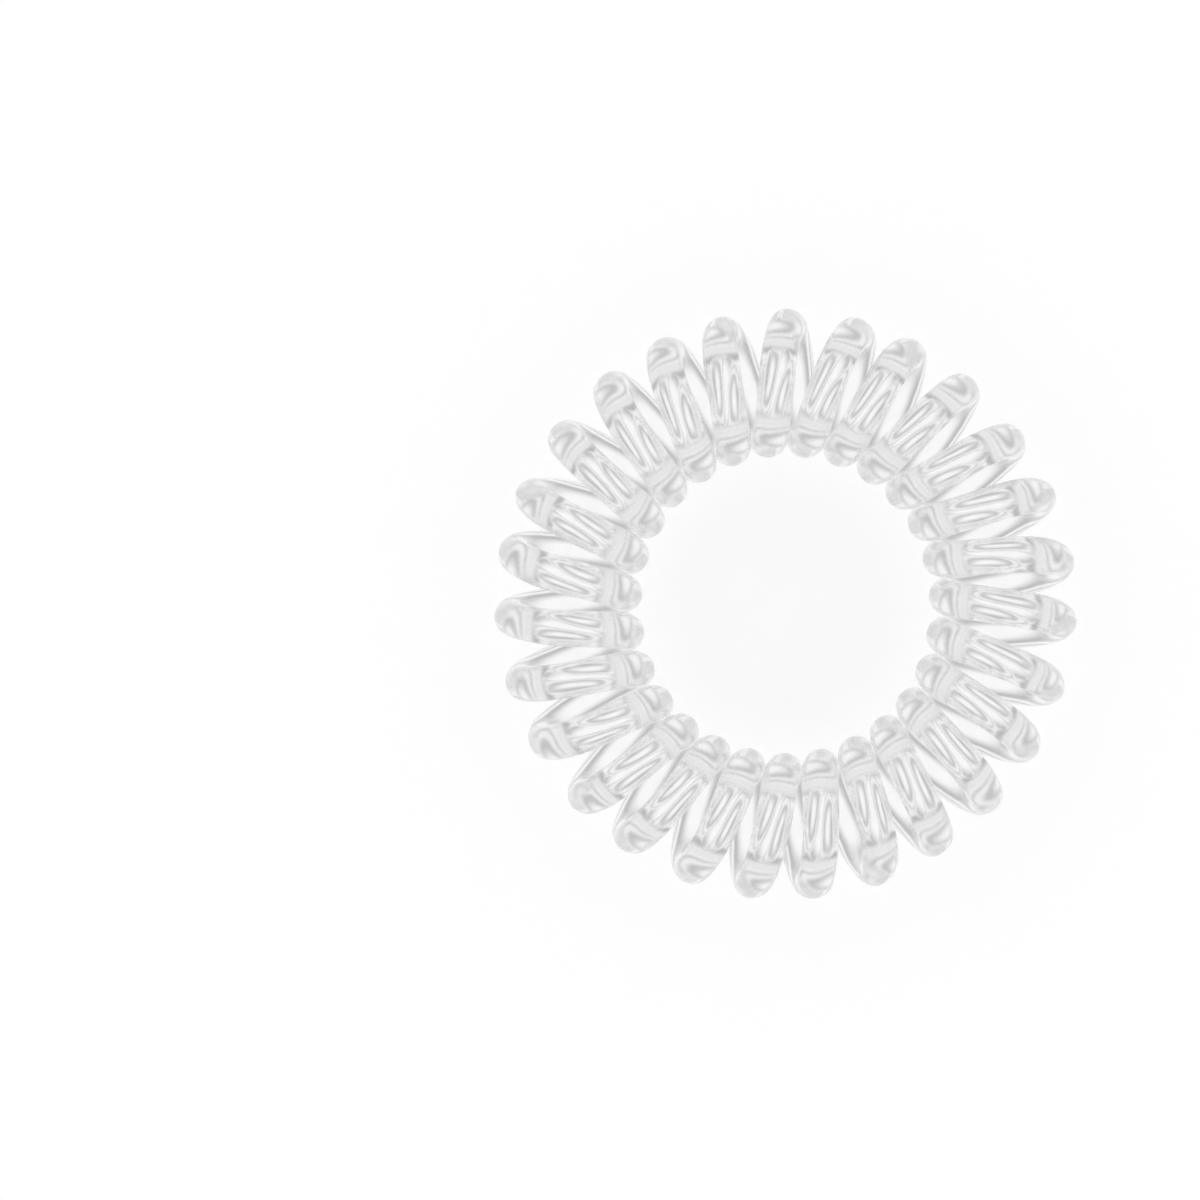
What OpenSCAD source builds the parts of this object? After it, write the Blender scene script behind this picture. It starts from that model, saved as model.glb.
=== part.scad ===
// Spiral hair tie: one clear, springy strand wound into an even coil, with the coil's
// own axis bent round into a closed ring. It has no ends, no clasp and no core.
// The ring lies flat with its axis on Z, and the undersides of its turns touch Z = 0.

/* [Ring] */
// Outside length of the ring over the tips of its turns, along Y
ring_length = 40; // [36:0.2:45]
// Outside width of the ring over the tips of its turns, along X
ring_width = 39.4; // [36:0.2:45]

/* [Coil] */
// Outside width of the winding, seen from above
winding_width = 10; // [8:0.1:11.5]
// Outside height of the winding, a little more than its width, as the coil stands up where it is bent round
winding_height = 11; // [8:0.1:12.5]
// Diameter of the strand
strand_d = 2.45; // [2:0.05:3.2]
// Free gap between two turns where they lie closest, on the ring's inner side
turn_gap = 0.04; // [0.02:0.01:0.6]
// Where on the ring one turn's outermost point lies, from +X round towards +Y, in degrees
first_turn_angle = 89.5; // [0:0.5:360]

/* [Fineness] */
// Flat sides round the strand
strand_sides = 12; // [8:1:16]
// Straight segments along each turn, a multiple of four so that they meet its lowest and highest points
turn_segments = 16; // [12:4:20]

/* [Hidden] */

clear_tint = "whitesmoke";
clear_alpha = 0.5;
full_turn = 360;
// Angle to either side of a point over which the strand's direction is read
slope_angle = 1;

strand_r = strand_d / 2;
// Greatest distance of the strand's middle from the winding's middle, sideways and upwards
winding_reach = winding_width / 2 - strand_r;
winding_rise = winding_height / 2 - strand_r;
// Half axes of the oval that the winding's middle follows
oval_x = (ring_width - winding_width) / 2;
oval_y = (ring_length - winding_width) / 2;

// A turn leans as it advances, so its pitch is a little more than its thickness and gap
turn_room = strand_d + turn_gap;
turn_lean = asin(turn_room / (2 * PI * winding_rise));
turn_pitch = turn_room / cos(turn_lean);
// Length of the ring's inner side, taken from the tighter of its two ends
inner_run_x = oval_x - winding_reach * oval_y / oval_x;
inner_run_y = oval_y - winding_reach * oval_x / oval_y;
inner_length = 2 * PI * min(inner_run_x, inner_run_y);
// The coil is wound as close as it goes: as many whole turns as that side has room for
turns = floor(inner_length / turn_pitch);
section_count = turns * turn_segments;
section_step = full_turn / turn_segments;
side_step = full_turn / strand_sides;

function unit(v) = v / norm(v);

// Place round the oval that the strand has reached at angle t round the winding
function oval_angle(t) = first_turn_angle + t / turns;

// Middle of the winding there
function oval_point(a) = [oval_x * cos(a), oval_y * sin(a), winding_height / 2];

// Level direction out of the oval, square to it
function oval_outward(a) = unit([oval_y * cos(a), oval_x * sin(a), 0]);

// Middle of the strand: furthest out at 0, up at 90, in at 180, down at 270
function strand_point(t) = oval_point(oval_angle(t))
    + winding_reach * cos(t) * oval_outward(oval_angle(t)) + [0, 0, winding_rise * sin(t)];

// Direction square out of the winding there
function winding_outward(t) =
    unit(winding_rise * cos(t) * oval_outward(oval_angle(t)) + [0, 0, winding_reach * sin(t)]);

// Direction in which the strand runs
function strand_way(t) = unit(strand_point(t + slope_angle) - strand_point(t - slope_angle));

// Corners of the strand's section, square to its run, with the first one furthest from the winding's middle
function strand_section(t) =
    let (way = strand_way(t))
    let (outer = unit(winding_outward(t) - (winding_outward(t) * way) * way))
    let (side = cross(way, outer))
    [for (s = [0 : side_step : full_turn - side_step / 2])
        strand_point(t) + strand_r * (cos(s) * outer + sin(s) * side)];

// Number of a corner in the list of all corners, where the last section is followed by the first
function corner(section, side) =
    (section % section_count) * strand_sides + side % strand_sides;

module closed_strand() {
    corners = [for (i = [0 : section_count - 1]) each strand_section(i * section_step)];
    faces = [for (i = [0 : section_count - 1], k = [0 : strand_sides - 1])
        each [
            [corner(i, k), corner(i + 1, k), corner(i + 1, k + 1)],
            [corner(i, k), corner(i + 1, k + 1), corner(i, k + 1)]
        ]];
    polyhedron(points = corners, faces = faces, convexity = 10);
}

module spiral_coil() {
    color(clear_tint, clear_alpha) closed_strand();
}

spiral_coil();
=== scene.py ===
# %% [markdown]
# A clear spiral hair tie
#
# The real thing is one soft strand of clear polyurethane, 2.45 mm thick. It is wound into a close coil
# and set by heat, and the coil closes into a ring with no beginning. Nothing is added to it: no clasp,
# no core, no printing.
#
# A clear object on a white ground is drawn by what it bends. So this lesson makes a very smooth surface
# first, then a clear material, and then spends its care on the room round it, because the room is all
# that shows.
#
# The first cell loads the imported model, which fixes where everything goes.

# %% Load the frame
import math

import bpy
import numpy as np
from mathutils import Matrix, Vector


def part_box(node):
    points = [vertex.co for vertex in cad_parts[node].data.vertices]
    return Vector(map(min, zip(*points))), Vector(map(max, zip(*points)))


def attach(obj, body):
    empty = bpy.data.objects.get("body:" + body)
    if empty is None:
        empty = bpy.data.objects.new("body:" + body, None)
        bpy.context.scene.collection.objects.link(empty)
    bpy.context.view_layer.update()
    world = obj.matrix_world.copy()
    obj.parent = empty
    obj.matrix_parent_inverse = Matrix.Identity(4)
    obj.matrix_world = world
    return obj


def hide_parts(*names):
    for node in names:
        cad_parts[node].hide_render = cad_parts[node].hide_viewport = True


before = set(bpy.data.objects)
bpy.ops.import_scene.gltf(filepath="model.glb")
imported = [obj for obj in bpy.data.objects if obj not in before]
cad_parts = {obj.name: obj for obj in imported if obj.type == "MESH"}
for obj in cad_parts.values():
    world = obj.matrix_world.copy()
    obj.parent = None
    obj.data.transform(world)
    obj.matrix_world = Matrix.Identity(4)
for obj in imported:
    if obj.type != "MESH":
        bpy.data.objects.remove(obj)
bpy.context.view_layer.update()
scene = bpy.context.scene
MM = 0.001

low, high = (np.array(corner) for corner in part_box("spiral_coil"))
print("solid, mm:", np.round((high - low) / MM, 2), "from", np.round(low / MM, 2))

# %% [markdown]
# One small helper for nodes
#
# Every material and the world are made of nodes. This one function adds a node, sets its own settings,
# and fills its inputs with a value or with another node's output.

# %% A helper for nodes
def add_node(tree, kind, inputs=None, **settings):
    """Add a node of a kind. An input given as a socket is linked, and any other is set as a value."""
    node = tree.nodes.new(kind)
    for name, value in settings.items():
        setattr(node, name, value)
    for name, value in (inputs or {}).items():
        if isinstance(value, bpy.types.NodeSocket):
            tree.links.new(value, node.inputs[name])
        else:
            node.inputs[name].default_value = value
    return node


def linear(hex_colour):
    """sRGB hex such as "F4F4F2" to the linear red, green, blue and alpha that the shaders take: a dark
    channel over 12.92, and any other plus 0.055, over 1.055, to the power of 2.4."""
    srgb = np.array([int(hex_colour[i:i + 2], 16) for i in (0, 2, 4)]) / 255
    low_part, high_part = srgb / 12.92, ((srgb + 0.055) / 1.055) ** 2.4
    return (*np.where(srgb <= 0.04045, low_part, high_part), 1.0)


# %% [markdown]
# The camera
#
# The photograph looks straight down on the ring, with no tilt and hardly any perspective, so a long
# lens stands far above it. The ring lies right of the middle of the picture. Moving the whole camera
# sideways does that, and keeps the lens free of shift, so that views from other sides stay centred.

# %% The camera
PICTURE = 1200
RING_CENTRE_PX = (785.5, 604.8)
RING_LENGTH = 40 * MM
RING_LENGTH_PX = 591.7
WINDING_HEIGHT = 11 * MM
# The lens and the sensor are in millimetres, as Blender's camera takes them.
LENS, SENSOR = 400, 36

metre_per_px = RING_LENGTH / RING_LENGTH_PX
picture_width = PICTURE * metre_per_px
camera_height = WINDING_HEIGHT / 2 + picture_width * LENS / SENSOR

camera_data = bpy.data.cameras.new("camera")
camera_data.lens = LENS
camera_data.sensor_width = SENSOR
camera = bpy.data.objects.new("camera", camera_data)
camera.location = (
    (PICTURE / 2 - RING_CENTRE_PX[0]) * metre_per_px,
    (RING_CENTRE_PX[1] - PICTURE / 2) * metre_per_px,
    camera_height,
)
scene.collection.objects.link(camera)
scene.camera = camera
print(f"the picture is {picture_width / MM:.1f} mm wide, seen from {camera_height / MM:.0f} mm")

# %% [markdown]
# The strand as a surface of two angles
#
# A closed coil could be made with a curve and a round bevel, or with the Screw modifier and a bend.
# Both leave a seam or a stretch to hide. Here the skin is a plain function of two angles: `t` runs
# along the winding, 27 whole turns of it, and `s` runs round the strand. Both close on themselves, so
# the surface has no ends to cap.
#
# Each turn is a little taller than it is wide. A coil bent round into a ring gives way sideways, and
# stands up.

# %% Sizes of the coil
RING_WIDTH = 39.4 * MM
WINDING_WIDTH = 10 * MM
STRAND = 2.45 * MM
TURNS = 27
FIRST_TURN = math.radians(89.5)
STEPS_PER_TURN = 66
SIDES = 54

strand_r = STRAND / 2
winding_reach = WINDING_WIDTH / 2 - strand_r
winding_rise = WINDING_HEIGHT / 2 - strand_r
oval_x = (RING_WIDTH - WINDING_WIDTH) / 2
oval_y = (RING_LENGTH - WINDING_WIDTH) / 2

# %% [markdown]
# A strand that is never quite even
#
# A drawn strand is a few hundredths of a millimetre thicker here than there, and no two turns of a coil
# set quite alike. On an opaque thing nobody would see it. This strand is a lens, though, and a perfect
# lens draws the same loops in every turn. So slow waves go into the radius, and the outer tips wander a
# little along the ring.
#
# A noise texture could do that as displacement. A sum of cosines with whole numbers of waves is used
# because it closes on itself both ways, and because it is smooth, as polyurethane is when it cools.

# %% A little unevenness
UNEVEN_SEED = 27
TIP_WANDER = 0.15 * MM
SKIN_WAVES = 0.026 * MM
# How many cosines are summed, and how many waves each may have along the whole strand and round it. The
# upper end of each range isn't drawn.
TIP_COSINES = {"count": 16, "along": (4, 22), "around": (0, 1)}
SKIN_COSINES = {"count": 48, "along": (10, 90), "around": (-3, 4)}


def uneven(t, s, seed, count, along, around):
    """Smooth random unevenness, about 1 in size: a sum of cosines of p * t / turns + m * s + a random
    phase. Whole numbers p and m close each wave along the strand and round it."""
    random = np.random.default_rng(seed)
    total = 0
    for _ in range(count):
        p, m = random.integers(*along), random.integers(*around)
        total = total + np.cos(p * t / TURNS + m * s + random.uniform(0, 2 * math.pi))
    return total * math.sqrt(2 / count)


# %% [markdown]
# The middle line and the skin round it
#
# A curve object with a round bevel would twist and pinch where the coil is tight. So the frame that
# carries the round section is written down instead: one direction always points out of the winding, and
# the other is square to it and to the strand's run. The inner tips lie packed, so the waves calm down
# there.

# %% The strand's skin
INNER_CALM = 0.2
SMALL_ANGLE = 1e-3


def strand_middle(t):
    """Middle line of the strand, and the direction square out of the winding. The winding's middle
    follows an oval, cos and sin of the angle a times its two half axes. About it the strand goes round an
    upright oval: cos(t) times its reach outwards plus sin(t) times its rise upwards. The outer tips wander
    a little sideways, and the inner ones, which lie packed, do not."""
    tip_shift = TIP_WANDER * uneven(t, 0, UNEVEN_SEED, **TIP_COSINES) * (1 + np.cos(t)) / 2
    a = FIRST_TURN + t / TURNS + tip_shift / (oval_x + winding_reach)
    oval = np.stack([oval_x * np.cos(a), oval_y * np.sin(a), np.full_like(a, WINDING_HEIGHT / 2)], -1)
    outward = np.stack([oval_y * np.cos(a), oval_x * np.sin(a), np.zeros_like(a)], -1)
    outward /= np.linalg.norm(outward, axis=-1, keepdims=True)
    spoke = winding_reach * np.cos(t)[..., None] * outward
    spoke[..., 2] = winding_rise * np.sin(t)
    square = winding_rise * np.cos(t)[..., None] * outward
    square[..., 2] = winding_reach * np.sin(t)
    return oval + spoke, square


def strand_skin(t, s):
    """Skin of the strand: from its middle, one radius along cos(s) times the direction out of the winding
    plus sin(s) times the direction square to both that one and the strand's run. The waves go down to a
    fifth of their size at the inner tips, where cos(t) is -1."""
    middle, square = strand_middle(t)
    run = strand_middle(t + SMALL_ANGLE)[0] - strand_middle(t - SMALL_ANGLE)[0]
    run /= np.linalg.norm(run, axis=-1, keepdims=True)
    outer = square - (square * run).sum(-1, keepdims=True) * run
    outer /= np.linalg.norm(outer, axis=-1, keepdims=True)
    side = np.cross(run, outer)
    section = np.cos(s)[None, :, None] * outer[:, None] + np.sin(s)[None, :, None] * side[:, None]
    calm = INNER_CALM + (1 - INNER_CALM) * (1 + np.cos(t)) / 2
    waves = SKIN_WAVES * calm[:, None] * uneven(t[:, None], s[None, :], UNEVEN_SEED + 1, **SKIN_COSINES)
    return middle[:, None] + (strand_r + waves)[..., None] * section


# %% [markdown]
# From a grid of points to a mesh
#
# The grid closes both ways, so the neighbour of the last row is the first one. The corners go into the
# mesh as whole arrays, which takes a blink where a loop over vertices would take seconds. Smooth
# shading matters more here than on an opaque thing: a clear surface bends light by its normals, and a
# facet would show as a kink.

# %% A closed mesh
def closed_grid_mesh(name, points):
    """Mesh of a grid of points that closes in both directions, one quad between each four neighbours."""
    rows, columns = points.shape[:2]
    row, column = np.meshgrid(np.arange(rows), np.arange(columns), indexing="ij")
    next_row, next_column = (row + 1) % rows, (column + 1) % columns
    quads = np.stack([
        row * columns + column,
        row * columns + next_column,
        next_row * columns + next_column,
        next_row * columns + column,
    ], -1).reshape(-1, 4)
    mesh = bpy.data.meshes.new(name)
    mesh.vertices.add(rows * columns)
    mesh.vertices.foreach_set("co", points.astype(np.float32).ravel())
    mesh.loops.add(quads.size)
    mesh.loops.foreach_set("vertex_index", quads.astype(np.int32).ravel())
    mesh.polygons.add(len(quads))
    mesh.polygons.foreach_set("loop_start", np.arange(0, quads.size, 4, dtype=np.int32))
    mesh.polygons.foreach_set("use_smooth", np.ones(len(quads), bool))
    mesh.update(calc_edges=True)
    mesh.validate()
    return mesh


t = np.arange(TURNS * STEPS_PER_TURN) * 2 * math.pi / STEPS_PER_TURN
s = np.arange(SIDES) * 2 * math.pi / SIDES
skin = strand_skin(t, s)
strand_mesh = closed_grid_mesh("clear_strand", skin)
strand = bpy.data.objects.new("clear_strand", strand_mesh)
scene.collection.objects.link(strand)
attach(strand, "root")
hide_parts("spiral_coil")

middle = strand_middle(t)[0]
strand_length = np.linalg.norm(np.roll(middle, -1, axis=0) - middle, axis=1).sum()
print(f"strand: {TURNS} turns, {strand_length / MM:.0f} mm long, {2 * len(strand_mesh.polygons)} triangles")

# %% [markdown]
# Room between the turns
#
# On the ring's inner side the turns all but touch, as they do on the real tie at rest. Two clear skins
# that cut through each other would bend light wrongly, so the gap that the waves leave is measured on
# the finished points.

# %% The least gap
INNER_PART = -0.8


def least_gap(skin, reach=3):
    """Smallest distance between the points on each turn's inner side, where cos(t) is under INNER_PART,
    and those a turn further on: the root of the sum of (p - q) squared, over rows up to `reach` away."""
    rows = np.flatnonzero(np.cos(t) < INNER_PART)
    least = np.inf
    for shift in range(-reach, reach + 1):
        facing = skin[(rows + STEPS_PER_TURN + shift) % len(skin)]
        apart = np.linalg.norm(skin[rows][:, :, None] - facing[:, None], axis=-1)
        least = min(least, apart.min())
    return least


print(f"least gap between two turns: {least_gap(skin) / MM:.3f} mm")

# %% [markdown]
# Places that the finish can follow
#
# Marks from drawing run along the strand, and Object coordinates don't know which way that is. A UV map
# would, but it has a seam where it starts again. So each point carries its two angles as cosines and
# sines, which close by themselves: round the strand, and round the ring. Those four numbers are a place
# in a four-dimensional noise.

# %% Places on the strand
ring_angle = t[:, None] / TURNS
round_strand = np.stack(np.broadcast_arrays(np.cos(s)[None], np.sin(s)[None], np.cos(ring_angle)), -1)
round_ring = np.broadcast_to(np.sin(ring_angle), skin.shape[:2])
strand_mesh.attributes.new("round_strand", "FLOAT_VECTOR", "POINT").data.foreach_set(
    "vector", round_strand.astype(np.float32).ravel())
strand_mesh.attributes.new("round_ring", "FLOAT", "POINT").data.foreach_set(
    "value", round_ring.astype(np.float32).ravel())

# %% [markdown]
# Clear polyurethane
#
# Thermoplastic polyurethane bends light about as window glass does, with an index of 1.50. It is drawn
# through a die, which leaves faint lines along it, and set by heat, which takes the edge off its gloss.
# It swallows a little light on the way through, and that greys the thick places a touch.
#
# Glass BSDF would do for the skin. The Principled shader is used because other programs read it.

# %% The clear material
# The real die lines are finer than a picture of the whole tie can show, so these are drawn coarser.
LINE_WIDTH = 0.25 * MM
LINE_LENGTH = 9 * MM
LINE_DEPTH = 0.006 * MM
LINE_DETAIL = 2.0
lines_round = strand_r / LINE_WIDTH
lines_along = strand_length / (2 * math.pi * LINE_LENGTH)
# The noise keeps mostly between these two values, and the roughness follows it between the other two.
NOISE_LOW, NOISE_HIGH = 0.3, 0.7
GLOSSIEST, DULLEST = 0.11, 0.15
POLYURETHANE_IOR = 1.50
GREYING_PER_METRE = 1.5


def clear_polyurethane():
    """Clear thermoplastic polyurethane, drawn and heat-set: the eye sees through it to bent light, under a
    soft gloss that changes a little from line to line."""
    material = bpy.data.materials.new("clear_polyurethane")
    material.use_nodes = True
    tree = material.node_tree
    tree.nodes.clear()
    around = add_node(tree, "ShaderNodeAttribute", attribute_name="round_strand").outputs["Vector"]
    ring = add_node(tree, "ShaderNodeAttribute", attribute_name="round_ring").outputs["Fac"]
    place = add_node(tree, "ShaderNodeVectorMath", {
        0: around, 1: (lines_round, lines_round, lines_along),
    }, operation="MULTIPLY")
    turn = add_node(tree, "ShaderNodeMath", {0: ring, 1: lines_along}, operation="MULTIPLY")
    lines = add_node(tree, "ShaderNodeTexNoise", {
        "Vector": place.outputs["Vector"],
        "W": turn.outputs["Value"],
        "Scale": 1.0,
        "Detail": LINE_DETAIL,
    }, noise_dimensions="4D")
    relief = add_node(tree, "ShaderNodeBump", {"Height": lines.outputs["Fac"], "Distance": LINE_DEPTH})
    gloss = add_node(tree, "ShaderNodeMapRange", {
        "Value": lines.outputs["Fac"],
        "From Min": NOISE_LOW,
        "From Max": NOISE_HIGH,
        "To Min": GLOSSIEST,
        "To Max": DULLEST,
    })
    surface = add_node(tree, "ShaderNodeBsdfPrincipled", {
        "Base Color": linear("FFFFFF"),
        "Roughness": gloss.outputs["Result"],
        "Normal": relief.outputs["Normal"],
        "IOR": POLYURETHANE_IOR,
        "Transmission Weight": 1.0,
    })
    inside = add_node(tree, "ShaderNodeVolumeAbsorption", {
        "Color": linear("000000"),
        "Density": GREYING_PER_METRE,
    })
    add_node(tree, "ShaderNodeOutputMaterial", {
        "Surface": surface.outputs["BSDF"],
        "Volume": inside.outputs["Volume"],
    })
    return material


strand_mesh.materials.append(clear_polyurethane())
print(f"lines from the die: {lines_round:.1f} to the radius, {lines_along:.1f} to the radian of the ring")

# %% [markdown]
# The floor
#
# The tie lies on a sheet of white opal that glows a little from below, the usual ground for a clear
# thing, because the glow washes out its shadow. A white plane that only reflects would do, but it comes
# out grey.
#
# The sheet is hidden from light that has passed through the strand, which meets the room below instead.
# A matt sheet a hair behind a strong lens takes a great many samples, and hides what draws the real
# tie: the darker surroundings.

# %% The floor
SHEET_GLOW = 0.2
SHEET_REACH = 2000 * MM


def pale_floor():
    """A wide, flat, matt floor at z = 0, the height that the ring rests on."""
    corners = SHEET_REACH * np.array([(-1, -1, 0), (1, -1, 0), (1, 1, 0), (-1, 1, 0)])
    mesh = bpy.data.meshes.new("floor")
    mesh.from_pydata(corners, [], [(0, 1, 2, 3)])
    floor = bpy.data.objects.new("floor", mesh)
    scene.collection.objects.link(floor)
    material = bpy.data.materials.new("opal_sheet")
    material.use_nodes = True
    tree = material.node_tree
    tree.nodes.clear()
    sheet = add_node(tree, "ShaderNodeBsdfPrincipled", {
        "Base Color": linear("F6F6F6"),
        "Roughness": 0.9,
        "Specular IOR Level": 0.0,
        "Emission Color": linear("FFFFFF"),
        "Emission Strength": SHEET_GLOW,
    })
    add_node(tree, "ShaderNodeOutputMaterial", {"Surface": sheet.outputs["BSDF"]})
    mesh.materials.append(material)
    floor.visible_transmission = False
    return floor


floor = pale_floor()
print(f"floor: a sheet {2 * SHEET_REACH:.0f} m wide, at z = 0")

# %% [markdown]
# The room
#
# A clear thing is drawn by what stands round it, and in a room that is white all round it all but
# vanishes. This room's brightness changes with height alone, so that it looks the same from every side.
# Two darker rings lie below, as from strips of card round the sheet. The broad one gives the streaks
# along each turn and the crescents between the turns, and the narrow one gives the thin lines across
# them. From there up to the horizon the room is a shade under the sheet, so that the tips stand out
# from it. The darker horizon gives the outlines, and a dimmer place overhead, where a camera would
# hang, gives the grey spots at the tips.
#
# Area lights could light the floor as well, but the strand would show each one as a hard white shape.

# %% The room
ROOM_STOPS = [
    (-1.0, 0.96), (-0.98, 0.95), (-0.94, 0.67), (-0.9, 0.46), (-0.86, 0.55), (-0.835, 0.9), (-0.75, 0.93),
    (-0.725, 0.42), (-0.69, 0.42), (-0.665, 0.91), (-0.6, 0.89), (-0.5, 0.76), (-0.35, 0.87), (-0.2, 0.42),
    (0.0, 0.42), (0.1, 0.97), (0.85, 0.97), (0.93, 0.45), (1.0, 0.65),
]


def bright_room():
    """A dome of soft light whose brightness changes with height alone: stops of height and brightness."""
    world = bpy.data.worlds.new("room")
    world.use_nodes = True
    tree = world.node_tree
    tree.nodes.clear()
    direction = add_node(tree, "ShaderNodeTexCoord").outputs["Generated"]
    height = add_node(tree, "ShaderNodeSeparateXYZ", {"Vector": direction}).outputs["Z"]
    place = add_node(tree, "ShaderNodeMapRange", {"Value": height, "From Min": -1.0, "From Max": 1.0})
    shade = add_node(tree, "ShaderNodeValToRGB", {"Fac": place.outputs["Result"]})
    ramp = shade.color_ramp
    while len(ramp.elements) < len(ROOM_STOPS):
        ramp.elements.new(0.5)
    for element, (z, brightness) in zip(ramp.elements, ROOM_STOPS):
        element.position = (z + 1) / 2
        element.color = (brightness, brightness, brightness, 1)
    light = add_node(tree, "ShaderNodeBackground", {"Color": shade.outputs["Color"], "Strength": 1.0})
    add_node(tree, "ShaderNodeOutputWorld", {"Surface": light.outputs["Background"]})
    return world


scene.world = bright_room()
darkest = min(brightness for z, brightness in ROOM_STOPS)
print(f"room: {len(ROOM_STOPS)} stops of brightness from below to above, the darkest at {darkest}")

# %% [markdown]
# Light that passes many skins
#
# Light goes through both skins of a strand, often through the turn behind it too, and at the tips it
# runs along the strand and turns back. Cycles stops a path after 4 glossy bounces unless told
# otherwise, and the tips go black. It also blurs sharp paths to save time, which would smear the thin
# lines, so that is off.

# %% How light is followed
BOUNCES = 48
scene.view_settings.view_transform = "Standard"
scene.cycles.max_bounces = BOUNCES
scene.cycles.transmission_bounces = BOUNCES
scene.cycles.glossy_bounces = BOUNCES
scene.cycles.blur_glossy = 0
print(f"a path of light may bend or bounce {BOUNCES} times")
